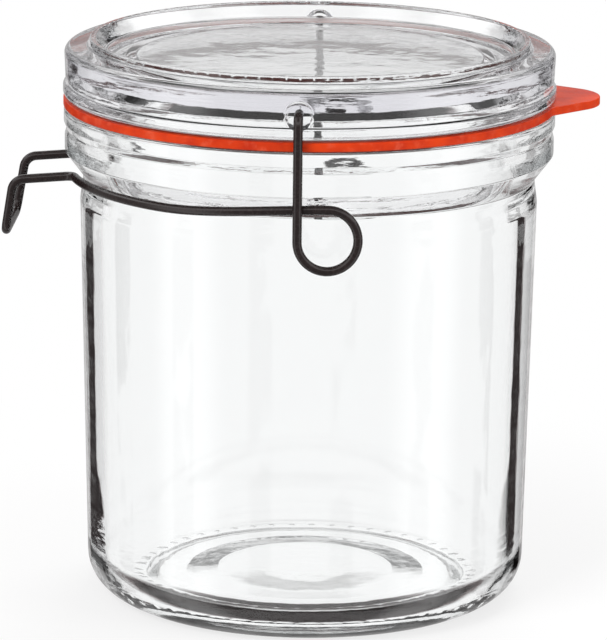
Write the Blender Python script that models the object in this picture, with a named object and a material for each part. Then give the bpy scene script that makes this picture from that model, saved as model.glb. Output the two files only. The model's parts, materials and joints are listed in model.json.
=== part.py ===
"""A pressed-glass canning jar that a wire bail holds shut.

The jar stands on the ring under its base. Its rim carries a flat rubber gasket with
a pull tab, and the thick glass lid sits on the gasket with a skirt that drops into
the mouth. One springy wire makes the whole closure. Each end hooks into a blind
dimple in the lid's side, drops down in front of the collar, turns once round as a
spring loop, and joins the half ring that lies under the collar. On the -X side the
ring turns out into a finger handle. Front is -Y and up is +Z.
"""

import math

import bpy
from mathutils import Vector

MM = 0.001

# Jar body
JAR_HEIGHT = 109.5 * MM
BODY_RADIUS = 50.4 * MM
BODY_TAPER = 1.8 * MM
GLASS_WALL = 4.4 * MM
BORE_TAPER = 1.1 * MM
HEEL_RADIUS = 8.7 * MM
INNER_HEEL_RADIUS = 6.5 * MM
BASE_RING_WIDTH = 4.3 * MM
FLOOR_THICKNESS = 4.1 * MM
FLOOR_CROWN = 1.2 * MM
PUNT_DEPTH = 2.6 * MM
PUNT_STEP_DEPTH = 1.35 * MM
PUNT_STEP_WIDTH = 3.2 * MM
SHOULDER_DROP = 4.2 * MM
NECK_DEPTH = 0.6 * MM
NECK_HEIGHT = 1.4 * MM

# Collar and sealing rim, measured down from the top of the jar
COLLAR_REACH = 3.4 * MM
COLLAR_EDGE_REACH = 2.1 * MM
COLLAR_EDGE_DROP = 11.2 * MM
COLLAR_FULL_DROP = 9.5 * MM
COLLAR_TOP_DROP = 6.3 * MM
UNDERCUT_HEIGHT = 3.6 * MM
GROOVE_REACH = 2.9 * MM
GROOVE_DROP = 4.6 * MM
LIP_REACH = 3.6 * MM
LIP_DROP = 3.1 * MM
LIP_ROUND = 0.9 * MM
MOUTH_CHAMFER = 0.9 * MM

# Gasket
SEAT_GAP = 0.3 * MM
GASKET_THICKNESS = 1.9 * MM
GASKET_OVERHANG = 0.1 * MM
GASKET_BORE_GAP = 0.2 * MM
TAB_LENGTH = 10.1 * MM
TAB_ROOT_HALF_WIDTH = 15.0 * MM
TAB_NOSE_RADIUS = 10.2 * MM
TAB_ROOT_FILLET = 4.0 * MM
TAB_AZIMUTH_DEG = 6.5

# Lid, measured up from the face that sits on the gasket
LID_SHOULDER_HEIGHT = 10.8 * MM
LID_CREST_HEIGHT = 12.7 * MM
LID_RECESS_DEPTH = 3.1 * MM
LID_PLATE_THICKNESS = 5.3 * MM
LID_SET_IN = 0.1 * MM
LID_WAIST_DEPTH = 0.3 * MM
LID_BEAD_REACH = 0.25 * MM
LID_BEAD_HEIGHT = 2.6 * MM
LID_BEAD_ROUND = 1.2 * MM
LID_EDGE_ROUND = 1.5 * MM
CREST_INSET = 6.0 * MM
CREST_HALF_WIDTH = 0.8 * MM
CREST_SLOPE_WIDTH = 2.4 * MM
SHOULDER_FALL = 0.3 * MM
SKIRT_CLEARANCE = 0.8 * MM
SKIRT_WALL = 3.7 * MM
SKIRT_DEPTH = 5.0 * MM
SKIRT_DRAFT = 0.9 * MM
LID_CONE_RISE = 1.5 * MM
LID_CONE_WIDTH = 2.6 * MM
LID_HOLLOW_ROUND = 0.5 * MM
DIMPLE_HEIGHT = 5.4 * MM
DIMPLE_RADIUS = 3.1 * MM

# Wire bail
WIRE_DIAMETER = 2.0 * MM
WIRE_TIP_GAP = 0.3 * MM
HOOK_BEND_RADIUS = 2.4 * MM
LEG_CLEARANCE = 0.75 * MM
LOOP_RADIUS = 6.35 * MM
LOOP_RISE = 2.1 * MM
CROSSING_GAP = 0.6 * MM
RING_CLEARANCE = 1.1 * MM
RING_DROP = 3.0 * MM
HANDLE_HALF_WIDTH = 12.8 * MM
HANDLE_TAPER = 1.3 * MM
HANDLE_REACH = 13.1 * MM
HANDLE_FALL = 1.1 * MM
HANDLE_DROP = 12.0 * MM
HANDLE_SPLAY = 2.0 * MM
HANDLE_BEND_RADIUS = 2.5 * MM
HANDLE_CORNER_RADIUS = 3.0 * MM

# Fineness of the surfaces
TURN_STEPS = 64
PROFILE_ARC_DEG = 30.0
WIRE_ARC_DEG = 15.0
LOOP_TURN_DEG = 270
LOOP_STEP_DEG = 15
RING_BLEND_DEG = 42.0
RING_STEP_DEG = 6.0
RING_DRAW_POWER = 1.5
OUTLINE_STEP_DEG = 5.0
WIRE_BEVEL_RESOLUTION = 4
DIMPLE_SEGMENTS = 24
DIMPLE_RINGS = 12
MERGE_DISTANCE = 0.01 * MM
SMOOTH_ANGLE = math.radians(34.0)

# Shares
FILLET_HALF_SHARE = 0.48
FILLET_WHOLE_SHARE = 0.95
WAIST_HEIGHT_SHARES = (1.12, 1.35)

# Derived places shared by the pieces
WIRE_RADIUS = WIRE_DIAMETER / 2
NECK_RADIUS = BODY_RADIUS - NECK_DEPTH
COLLAR_RADIUS = BODY_RADIUS + COLLAR_REACH
COLLAR_EDGE_Z = JAR_HEIGHT - COLLAR_EDGE_DROP
LIP_RADIUS = BODY_RADIUS + LIP_REACH
BORE_RADIUS = BODY_RADIUS - GLASS_WALL
LID_RADIUS = LIP_RADIUS - LID_SET_IN
BEAD_RADIUS = LID_RADIUS + LID_BEAD_REACH
GASKET_Z = JAR_HEIGHT + SEAT_GAP
LID_Z = GASKET_Z + GASKET_THICKNESS + SEAT_GAP
SWING_Z = LID_Z + DIMPLE_HEIGHT
RING_RADIUS = BODY_RADIUS + WIRE_RADIUS + RING_CLEARANCE
RING_Z = COLLAR_EDGE_Z - RING_DROP
LEG_Y = BEAD_RADIUS + LEG_CLEARANCE + WIRE_RADIUS


def rounded_path(corners, arc_deg):
    """Return the points of a path whose corners are rounded.

    Each corner is a point and its fillet radius. A fillet takes under half of each run
    that meets at it, or nearly the whole run when the run's other end is sharp.
    """
    points = [corners[0][0]]
    for before, (corner, radius), after in zip(corners, corners[1:], corners[2:]):
        to_before = before[0] - corner
        to_after = after[0] - corner
        half = to_before.angle(to_after) / 2
        share_before = FILLET_HALF_SHARE if before[1] else FILLET_WHOLE_SHARE
        share_after = FILLET_HALF_SHARE if after[1] else FILLET_WHOLE_SHARE
        room = min(to_before.length * share_before, to_after.length * share_after)
        reach = min(radius / math.tan(half), room)
        if reach <= MERGE_DISTANCE:
            points.append(corner)
            continue
        start = corner + to_before.normalized() * reach
        end = corner + to_after.normalized() * reach
        middle = (to_before.normalized() + to_after.normalized()).normalized()
        centre = corner + middle * (reach / math.cos(half))
        turn = math.pi - 2 * half
        steps = max(1, math.ceil(math.degrees(turn) / arc_deg))
        spoke = start - centre
        other = end - centre
        for step in range(steps + 1):
            share = step / steps
            near = math.sin((1 - share) * turn) / math.sin(turn)
            far = math.sin(share * turn) / math.sin(turn)
            points.append(centre + spoke * near + other * far)
    points.append(corners[-1][0])
    return points


def outline(corners):
    """Turn (radius, height, fillet) corners into rounded profile points."""
    path = [(Vector((radius, 0, height)), fillet) for radius, height, fillet in corners]
    return rounded_path(path, PROFILE_ARC_DEG)


def make_material(name, colour, roughness, metallic, alpha):
    """Return a plain finish for one piece."""
    material = bpy.data.materials.new(name)
    material.use_nodes = True
    shader = material.node_tree.nodes["Principled BSDF"]
    shader.inputs["Base Color"].default_value = (*colour, 1)
    shader.inputs["Roughness"].default_value = roughness
    shader.inputs["Metallic"].default_value = metallic
    shader.inputs["Alpha"].default_value = alpha
    return material


def add_object(name, data, height, parent):
    """Link an object whose origin is on the jar's axis at a given height."""
    obj = bpy.data.objects.new(name, data)
    bpy.context.collection.objects.link(obj)
    parent_height = parent["height"] if parent else 0
    obj.parent = parent
    obj.location = (0, 0, height - parent_height)
    obj["height"] = height
    return obj


def turned_mesh(name, points):
    """Return a mesh that holds only the profile line of a turned piece."""
    mesh = bpy.data.meshes.new(name)
    edges = [(index, index + 1) for index in range(len(points) - 1)]
    mesh.from_pydata([tuple(point) for point in points], edges, [])
    return mesh


def add_turn(obj):
    """Spin an object's profile line once round the Z axis."""
    screw = obj.modifiers.new("turn", "SCREW")
    screw.axis = "Z"
    screw.angle = math.tau
    screw.steps = TURN_STEPS
    screw.render_steps = TURN_STEPS
    screw.use_merge_vertices = True
    screw.merge_threshold = MERGE_DISTANCE
    screw.use_smooth_shade = True


def jar_profile():
    """Return the jar's section, from the floor's centre up and round to the punt."""
    foot_radius = BODY_RADIUS - BODY_TAPER
    ring_outer = foot_radius - HEEL_RADIUS
    ring_inner = ring_outer - BASE_RING_WIDTH
    lip_bottom = JAR_HEIGHT - LIP_DROP
    groove_z = JAR_HEIGHT - GROOVE_DROP
    neck_top = COLLAR_EDGE_Z - UNDERCUT_HEIGHT
    neck_bottom = neck_top - NECK_HEIGHT
    return outline([
        (0, FLOOR_THICKNESS + FLOOR_CROWN, 0),
        (BORE_RADIUS - BORE_TAPER, FLOOR_THICKNESS, INNER_HEEL_RADIUS),
        (BORE_RADIUS, JAR_HEIGHT - MOUTH_CHAMFER, 0),
        (BORE_RADIUS + MOUTH_CHAMFER, JAR_HEIGHT, 0),
        (LIP_RADIUS, JAR_HEIGHT, LIP_ROUND),
        (LIP_RADIUS, lip_bottom, LIP_ROUND),
        (BODY_RADIUS + GROOVE_REACH, groove_z, LIP_ROUND),
        (COLLAR_RADIUS, JAR_HEIGHT - COLLAR_TOP_DROP, LIP_ROUND),
        (COLLAR_RADIUS, JAR_HEIGHT - COLLAR_FULL_DROP, LIP_ROUND),
        (BODY_RADIUS + COLLAR_EDGE_REACH, COLLAR_EDGE_Z, 0),
        (NECK_RADIUS, neck_top, NECK_HEIGHT),
        (NECK_RADIUS, neck_bottom, NECK_HEIGHT),
        (BODY_RADIUS, neck_bottom - SHOULDER_DROP, SHOULDER_DROP),
        (foot_radius, 0, HEEL_RADIUS),
        (ring_inner, 0, 0),
        (ring_inner - PUNT_STEP_WIDTH, PUNT_STEP_DEPTH, PUNT_STEP_WIDTH),
        (0, PUNT_DEPTH, 0),
    ])


def lid_profile():
    """Return the lid's section, from the recess down and round to the hollow."""
    crest_radius = LID_RADIUS - CREST_INSET
    crest_base_z = LID_SHOULDER_HEIGHT + SHOULDER_FALL
    floor_z = LID_CREST_HEIGHT - LID_RECESS_DEPTH
    plate_z = floor_z - LID_PLATE_THICKNESS
    skirt_radius = BORE_RADIUS - SKIRT_CLEARANCE
    waist_radius = LID_RADIUS - LID_WAIST_DEPTH
    low_share, high_share = WAIST_HEIGHT_SHARES
    hollow_radius = skirt_radius - SKIRT_WALL - SKIRT_DRAFT
    return outline([
        (0, floor_z, 0),
        (crest_radius - CREST_HALF_WIDTH - CREST_SLOPE_WIDTH, floor_z, CREST_HALF_WIDTH),
        (crest_radius - CREST_HALF_WIDTH, LID_CREST_HEIGHT, CREST_HALF_WIDTH),
        (crest_radius + CREST_HALF_WIDTH / 2, LID_CREST_HEIGHT, CREST_HALF_WIDTH),
        (crest_radius + CREST_HALF_WIDTH, crest_base_z, 0),
        (LID_RADIUS, LID_SHOULDER_HEIGHT, LID_EDGE_ROUND),
        (waist_radius, LID_BEAD_HEIGHT * high_share, 0),
        (waist_radius, LID_BEAD_HEIGHT * low_share, 0),
        (BEAD_RADIUS, LID_BEAD_HEIGHT, LID_BEAD_ROUND),
        (BEAD_RADIUS, 0, LID_BEAD_ROUND),
        (skirt_radius, 0, 0),
        (skirt_radius - SKIRT_DRAFT, -SKIRT_DEPTH, SKIRT_DRAFT),
        (skirt_radius - SKIRT_WALL, -SKIRT_DEPTH, SKIRT_DRAFT),
        (hollow_radius, plate_z - LID_CONE_RISE, LID_HOLLOW_ROUND),
        (hollow_radius - LID_CONE_WIDTH, plate_z, LID_HOLLOW_ROUND),
        (0, plate_z, 0),
    ])


def gasket_outline():
    """Return the gasket's outer edge, once round, as (x, y) with the tab along +X."""
    ring_radius = LIP_RADIUS + GASKET_OVERHANG
    nose_x = ring_radius + TAB_LENGTH - TAB_NOSE_RADIUS
    root_deg = math.degrees(math.asin(TAB_ROOT_HALF_WIDTH / ring_radius))
    root = Vector((ring_radius * math.cos(math.radians(root_deg)), TAB_ROOT_HALF_WIDTH, 0))
    to_root = root - Vector((nose_x, 0, 0))
    touch = math.atan2(to_root.y, to_root.x) - math.acos(TAB_NOSE_RADIUS / to_root.length)
    steps = max(2, math.ceil(math.degrees(touch) / (2 * OUTLINE_STEP_DEG)))
    nose = []
    for step in range(steps + 1):
        angle = touch * step / steps
        nose.append(Vector((
            nose_x + TAB_NOSE_RADIUS * math.cos(angle), TAB_NOSE_RADIUS * math.sin(angle), 0,
        )))
    fillet_deg = root_deg + math.degrees(TAB_ROOT_FILLET / ring_radius)
    arc_start = Vector((
        ring_radius * math.cos(math.radians(fillet_deg)),
        ring_radius * math.sin(math.radians(fillet_deg)),
        0,
    ))
    flank = rounded_path(
        [(nose[-1], 0), (root, TAB_ROOT_FILLET), (arc_start, 0)], PROFILE_ARC_DEG
    )
    half = nose + flank[1:]
    arc_steps = math.ceil((180 - fillet_deg) / OUTLINE_STEP_DEG)
    for step in range(1, arc_steps + 1):
        angle = math.radians(fillet_deg + (180 - fillet_deg) * step / arc_steps)
        half.append(Vector((ring_radius * math.cos(angle), ring_radius * math.sin(angle), 0)))
    mirrored = [Vector((point.x, -point.y, 0)) for point in reversed(half[1:-1])]
    return half + mirrored


def gasket_mesh():
    """Return the flat rubber ring with its pull tab, standing on its lower face."""
    outer = gasket_outline()
    inner_radius = BORE_RADIUS + GASKET_BORE_GAP
    count = len(outer)
    vertices = []
    for height in (0, GASKET_THICKNESS):
        vertices += [(point.x, point.y, height) for point in outer]
        for index in range(count):
            angle = math.atan2(outer[index].y, outer[index].x)
            vertices.append((
                inner_radius * math.cos(angle), inner_radius * math.sin(angle), height,
            ))
    faces = []
    for index in range(count):
        after = (index + 1) % count
        low_out, low_out_after = index, after
        low_in, low_in_after = count + index, count + after
        top_out, top_out_after = 2 * count + index, 2 * count + after
        top_in, top_in_after = 3 * count + index, 3 * count + after
        faces.append((low_out, low_out_after, top_out_after, top_out))
        faces.append((low_in_after, low_in, top_in, top_in_after))
        faces.append((top_out, top_out_after, top_in_after, top_in))
        faces.append((low_out_after, low_out, low_in, low_in_after))
    mesh = bpy.data.meshes.new("gasket")
    mesh.from_pydata(vertices, [], faces)
    mesh.polygons.foreach_set("use_smooth", [True] * len(mesh.polygons))
    mesh.set_sharp_from_angle(angle=SMOOTH_ANGLE)
    return mesh


def ring_point(turn_deg, blend):
    """Return a point of the half ring, blended from the loop's top to its seat."""
    radius = RING_RADIUS + ring_draw() * (1 - blend) ** RING_DRAW_POWER
    eased = blend * blend * (3 - 2 * blend)
    angle = math.radians(turn_deg)
    height = RING_Z + LOOP_RISE * (1 - eased)
    return Vector((radius * math.cos(angle), radius * math.sin(angle), height))


def ring_draw():
    """Return how far out of its seat the ring starts, where it leaves the loop."""
    crossing_radius = LEG_Y - WIRE_DIAMETER - CROSSING_GAP
    cross_deg = math.degrees(math.atan2(LOOP_RADIUS, crossing_radius))
    blend = cross_deg / RING_BLEND_DEG
    return (crossing_radius - RING_RADIUS) / (1 - blend) ** RING_DRAW_POWER


def half_bail():
    """Return the front half of the wire, from the hook's tip to the handle's middle.

    The points are in the jar's frame. The tip starts in the front dimple.
    """
    tip_reach = math.sqrt((DIMPLE_RADIUS - WIRE_TIP_GAP) ** 2 - WIRE_RADIUS ** 2)
    tip = Vector((0, tip_reach - LID_RADIUS, SWING_Z))
    loop_top = RING_Z + LOOP_RISE
    loop_z = loop_top - LOOP_RADIUS
    points = rounded_path(
        [
            (tip, 0),
            (Vector((0, -LEG_Y, SWING_Z)), HOOK_BEND_RADIUS),
            (Vector((0, -LEG_Y, loop_z)), 0),
        ],
        WIRE_ARC_DEG,
    )
    start_deg = -90 + math.degrees(math.atan2(LOOP_RADIUS, RING_RADIUS + ring_draw()))
    loop_end_y = ring_point(start_deg, 0).y
    for turned in range(LOOP_STEP_DEG, LOOP_TURN_DEG, LOOP_STEP_DEG):
        share = turned / LOOP_TURN_DEG
        eased = share * share * (3 - 2 * share)
        angle = math.radians(180 + turned)
        points.append(Vector((
            LOOP_RADIUS + LOOP_RADIUS * math.cos(angle),
            -LEG_Y + (loop_end_y + LEG_Y) * eased,
            loop_z + LOOP_RADIUS * math.sin(angle),
        )))
    bend_reach = HANDLE_BEND_RADIUS
    hypotenuse = math.hypot(RING_RADIUS, bend_reach)
    bend_deg = 180 + math.degrees(
        math.asin(HANDLE_HALF_WIDTH / hypotenuse) + math.atan2(bend_reach, RING_RADIUS)
    )
    sweep = start_deg + 360 - bend_deg
    ring_steps = math.ceil(sweep / RING_STEP_DEG)
    for step in range(ring_steps + 1):
        turned = sweep * step / ring_steps
        points.append(ring_point(start_deg - turned, min(1, turned / RING_BLEND_DEG)))
    last = points.pop()
    angle = math.radians(bend_deg)
    heading = Vector((math.sin(angle), -math.cos(angle), 0))
    bend = last + heading * bend_reach
    elbow = bend + Vector((-HANDLE_REACH, 0, -HANDLE_FALL))
    corner = elbow + Vector((-HANDLE_SPLAY, HANDLE_TAPER, -HANDLE_DROP))
    middle = Vector((corner.x, 0, corner.z))
    points += rounded_path(
        [
            (last, 0),
            (bend, HANDLE_BEND_RADIUS),
            (elbow, HANDLE_CORNER_RADIUS),
            (corner, HANDLE_CORNER_RADIUS),
            (middle, 0),
        ],
        WIRE_ARC_DEG,
    )
    return points


def least_self_gap(points):
    """Return the least gap between runs of the wire that are half a loop or more apart."""
    samples = []
    travelled = 0
    for start, end in zip(points, points[1:]):
        run = end - start
        count = math.ceil(run.length / WIRE_RADIUS) + 1
        for step in range(count):
            share = step / count
            samples.append((travelled + run.length * share, start + run * share))
        travelled += run.length
    skip = math.pi * LOOP_RADIUS
    least = min(
        (other - point).length
        for index, (place, point) in enumerate(samples)
        for other_place, other in samples[index:]
        if other_place - place > skip
    )
    return least - WIRE_DIAMETER


def bail_curve():
    """Return the whole wire as one tube, centred on the line through the dimples."""
    front = half_bail()
    print("least gap of the wire to itself: %.2f mm" % (least_self_gap(front) / MM))
    back = [Vector((point.x, -point.y, point.z)) for point in reversed(front[:-1])]
    points = front + back
    curve = bpy.data.curves.new("wire_bail", "CURVE")
    curve.dimensions = "3D"
    curve.bevel_depth = WIRE_RADIUS
    curve.bevel_resolution = WIRE_BEVEL_RESOLUTION
    curve.use_fill_caps = True
    spline = curve.splines.new("POLY")
    spline.points.add(len(points) - 1)
    for target, point in zip(spline.points, points):
        target.co = (point.x, point.y, point.z - SWING_Z, 1)
    return curve


def cut_dimples(lid):
    """Sink the two blind dimples for the hooks into the lid's side wall."""
    for name, side in (("front", -1), ("back", 1)):
        bpy.ops.mesh.primitive_uv_sphere_add(
            segments=DIMPLE_SEGMENTS,
            ring_count=DIMPLE_RINGS,
            radius=DIMPLE_RADIUS,
            location=(0, side * LID_RADIUS, SWING_Z),
            rotation=(math.pi / 2, 0, 0),
        )
        cutter = bpy.context.active_object
        cutter.name = name + "_dimple_cutter"
        cutter.hide_render = True
        cutter.display_type = "WIRE"
        cut = lid.modifiers.new(name + "_dimple", "BOOLEAN")
        cut.operation = "DIFFERENCE"
        cut.solver = "EXACT"
        cut.object = cutter


def build():
    """Build the jar, its gasket, its lid and its wire bail."""
    for obj in list(bpy.data.objects):
        bpy.data.objects.remove(obj, do_unlink=True)

    glass = make_material("jar glass", (0.93, 0.96, 0.96), 0.05, 0, 0.35)
    lid_glass = make_material("lid glass", (0.90, 0.95, 0.95), 0.05, 0, 0.35)
    rubber = make_material("orange red rubber", (0.72, 0.08, 0.02), 0.55, 0, 1)
    steel = make_material("dark spring steel", (0.035, 0.028, 0.024), 0.32, 0.9, 1)

    jar = add_object("jar_body", turned_mesh("jar_body", jar_profile()), 0, None)
    add_turn(jar)
    jar.data.materials.append(glass)

    gasket_axis = add_object("gasket_lift_axis", None, GASKET_Z, None)
    gasket = add_object("gasket", gasket_mesh(), GASKET_Z, gasket_axis)
    gasket.rotation_euler.z = math.radians(TAB_AZIMUTH_DEG)
    gasket.data.materials.append(rubber)

    lid_axis = add_object("lid_lift_axis", None, LID_Z, gasket_axis)
    lid = add_object("lid", turned_mesh("lid", lid_profile()), LID_Z, lid_axis)
    add_turn(lid)
    cut_dimples(lid)
    lid.data.materials.append(lid_glass)

    swing_axis = add_object("bail_swing_axis", None, SWING_Z, lid_axis)
    bail = add_object("wire_bail", bail_curve(), SWING_Z, swing_axis)
    bail.data.materials.append(steel)


build()
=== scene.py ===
"""Looks of a glass canning jar that a wire bail holds shut.

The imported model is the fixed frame. Each of its four pieces is made again here with
finer surfaces, in the same place and size: the pressed glass jar and lid are turned on
one axis, the gasket is moulded rubber with a pull tab, and the bail is one lacquered
spring wire. The jar's front faces -Y and +Z is up. Lengths are in metres.
"""

from __future__ import annotations

import json
import logging
import math
from dataclasses import dataclass, fields
from enum import Enum
from typing import Callable

import bpy
import numpy as np
from mathutils import Matrix, Vector

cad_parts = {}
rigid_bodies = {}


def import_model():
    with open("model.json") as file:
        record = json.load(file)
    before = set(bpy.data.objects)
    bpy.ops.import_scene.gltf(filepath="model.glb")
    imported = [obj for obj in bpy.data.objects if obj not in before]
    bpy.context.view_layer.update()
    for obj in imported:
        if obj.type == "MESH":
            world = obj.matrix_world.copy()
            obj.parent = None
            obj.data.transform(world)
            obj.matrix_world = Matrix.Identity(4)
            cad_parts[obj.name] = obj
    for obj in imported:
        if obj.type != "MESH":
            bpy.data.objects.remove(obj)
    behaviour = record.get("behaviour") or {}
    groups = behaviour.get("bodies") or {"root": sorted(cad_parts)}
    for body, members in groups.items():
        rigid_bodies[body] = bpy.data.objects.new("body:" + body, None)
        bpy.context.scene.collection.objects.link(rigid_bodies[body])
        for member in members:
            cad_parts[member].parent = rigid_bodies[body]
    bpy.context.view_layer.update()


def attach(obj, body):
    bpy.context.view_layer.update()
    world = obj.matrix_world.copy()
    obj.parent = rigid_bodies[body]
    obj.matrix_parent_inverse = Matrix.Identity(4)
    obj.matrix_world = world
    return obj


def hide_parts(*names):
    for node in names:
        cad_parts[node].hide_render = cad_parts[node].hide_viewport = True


MM = 0.001
LOG = logging.getLogger("canning_jar")

# The share of a straight side that one fillet may take: where two share it, and alone.
SHARED_SIDE, WHOLE_SIDE = 0.48, 0.95
SHORTEST = 0.002 * MM
SHARP_ANGLE = math.radians(50)
# The renderer follows a ray through this many reflections.
MOST_BOUNCES = 4
WHITE, BLACK = (1.0, 1.0, 1.0), (0.0, 0.0, 0.0)

Colour = tuple[float, float, float]
Triple = tuple[float, float, float]
Span = tuple[float, float]
Material = bpy.types.Material
Node = bpy.types.Node
Piece = bpy.types.Object
Socket = bpy.types.NodeSocket
Tree = bpy.types.NodeTree


class Body(Enum):
    """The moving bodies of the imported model."""

    JAR = "jar"
    GASKET = "gasket"
    LID = "lid"
    BAIL = "bail"


class Slot(Enum):
    """The record's material slots."""

    JAR_GLASS = "jar_glass"
    LID_GLASS = "lid_glass"
    RUBBER = "gasket_rubber"
    WIRE = "bail_wire"


@dataclass(frozen=True)
class Corner:
    """A corner of a turned section: its place and the radius that rounds it."""

    radius: float
    height: float
    fillet: float = 0.0

    def moved(self, out: float, up: float) -> Corner:
        """Return the corner at a place farther out and up."""
        return Corner(self.radius + out, self.height + up, self.fillet)


def rounded(points: list[tuple[Vector, float]], arc_deg: float) -> list[Vector]:
    """Round the corners of a path.

    Args:
        points: Each corner's place and fillet radius.
        arc_deg: The largest turn of one chord of a fillet, in degrees.

    Returns:
        The path's points with each corner replaced by its arc.
    """
    path = [points[0][0]]
    for before, (corner, radius), after in zip(points, points[1:], points[2:]):
        back, ahead = before[0] - corner, after[0] - corner
        half = back.angle(ahead) / 2
        room = min(
            back.length * (SHARED_SIDE if before[1] else WHOLE_SIDE),
            ahead.length * (SHARED_SIDE if after[1] else WHOLE_SIDE),
        )
        reach = min(radius / math.tan(half), room) if radius else 0.0
        if reach < SHORTEST / 2:
            path.append(corner)
            continue
        start, end = corner + back.normalized() * reach, corner + ahead.normalized() * reach
        middle = (back.normalized() + ahead.normalized()).normalized()
        centre = corner + middle * (reach / math.cos(half))
        turn = math.pi - 2 * half
        steps = max(2, math.ceil(math.degrees(turn) / arc_deg))
        for step in range(steps + 1):
            share = step / steps
            near = math.sin((1 - share) * turn) / math.sin(turn)
            far = math.sin(share * turn) / math.sin(turn)
            path.append(centre + (start - centre) * near + (end - centre) * far)
    path.append(points[-1][0])
    return path


@dataclass
class Turning:
    """A closed surface turned round the Z axis, from one pole to the other.

    Attributes:
        corners: The section's corners; the first and last lie on the axis.
        turns: The angles of the grid's columns, in radians, once round.
        run: The longest straight step along the section.
        fine: Stretches of height with a shorter step, as (low, high, step).
        arc_deg: The largest turn of one chord of a fillet, in degrees.
    """

    corners: list[Corner]
    turns: np.ndarray
    run: float = 1.6 * MM
    fine: tuple[Triple, ...] = ()
    arc_deg: float = 7.5

    def section(self) -> np.ndarray:
        """Walk along the section, with its corners rounded and its long runs divided.

        Returns:
            The section as an array of (radius, height) rows.
        """
        path = rounded(
            [(Vector((c.radius, 0, c.height)), c.fillet) for c in self.corners], self.arc_deg
        )
        rows = [path[0]]
        for start, end in zip(path, path[1:]):
            gap = end - start
            if gap.length < SHORTEST:
                continue
            step = self.run
            for low, high, short in self.fine:
                if max(start.z, end.z) > low and min(start.z, end.z) < high:
                    step = min(step, short)
            count = max(1, math.ceil(gap.length / step))
            rows += [start + gap * (index / count) for index in range(1, count + 1)]
        return np.array([(row.x, row.z) for row in rows])

    def mesh(
        self, name: str, relief: Callable[[np.ndarray, np.ndarray, np.ndarray], np.ndarray] | None
    ) -> bpy.types.Mesh:
        """Build the turned surface.

        Args:
            name: The mesh's name.
            relief: Gives how far each grid point moves out along its radius, from its
                radius, angle and height, or None.

        Returns:
            A closed mesh whose faces point outwards.
        """
        rows = self.section()
        inner = rows[1:-1]
        count, wide = len(inner), len(self.turns)
        radius, height = (np.repeat(inner[:, i], wide).reshape(count, -1) for i in (0, 1))
        angle = np.tile(self.turns, (count, 1))
        if relief is not None:
            radius = radius + relief(radius, angle, height)
        grid = np.stack([radius * np.cos(angle), radius * np.sin(angle), height], -1)
        poles = [(0, 0, rows[0][1]), (0, 0, rows[-1][1])]
        after = (np.arange(wide) + 1) % wide
        faces = []
        for row in range(count - 1):
            low, high = row * wide, (row + 1) * wide
            faces += zip(
                (low + np.arange(wide)).tolist(), (high + np.arange(wide)).tolist(),
                (high + after).tolist(), (low + after).tolist(),
            )
        first, last, top = count * wide, count * wide + 1, (count - 1) * wide
        faces += [(first, i, int(after[i])) for i in range(wide)]
        faces += [(last, top + int(after[i]), top + i) for i in range(wide)]
        return closed_mesh(name, np.vstack([grid.reshape(-1, 3), poles]), faces)


def signed_volume(mesh: bpy.types.Mesh) -> float:
    """Measure a closed mesh.

    Args:
        mesh: The mesh.

    Returns:
        Its volume, negative where its faces point inwards.
    """
    mesh.calc_loop_triangles()
    places = np.empty(len(mesh.vertices) * 3)
    mesh.vertices.foreach_get("co", places)
    places = places.reshape(-1, 3)
    corners = np.empty(len(mesh.loop_triangles) * 3, dtype=np.int32)
    mesh.loop_triangles.foreach_get("vertices", corners)
    a, b, c = (places[corners.reshape(-1, 3)[:, index]] for index in range(3))
    return float(np.einsum("ij,ij->i", a, np.cross(b, c)).sum() / 6)


def closed_mesh(name: str, points: np.ndarray, faces: list[tuple[int, ...]]) -> bpy.types.Mesh:
    """Make a smooth closed mesh whose faces point outwards.

    Args:
        name: The mesh's name.
        points: Its points, one row each.
        faces: The points of each face.

    Returns:
        The mesh.
    """
    mesh = bpy.data.meshes.new(name)
    mesh.from_pydata(points.tolist(), [], faces)
    if signed_volume(mesh) < 0:
        mesh.flip_normals()
    mesh.polygons.foreach_set("use_smooth", [True] * len(mesh.polygons))
    mesh.update()
    return mesh


def between(angles: np.ndarray, middle: float) -> np.ndarray:
    """Return how far angles lie from another one, the short way round."""
    return np.angle(np.exp(1j * (angles - middle)))


def even_turns(count: int, shares: tuple[float, ...]) -> np.ndarray:
    """Return column angles for a ring of like marks.

    Args:
        count: The number of marks round the ring.
        shares: The places of the columns within one mark's stretch, from 0 to 1.

    Returns:
        The angles in radians, rising from 0.
    """
    marks = np.arange(count)[:, None] + np.array(shares)[None, :]
    return (marks / count * math.tau).ravel()


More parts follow.
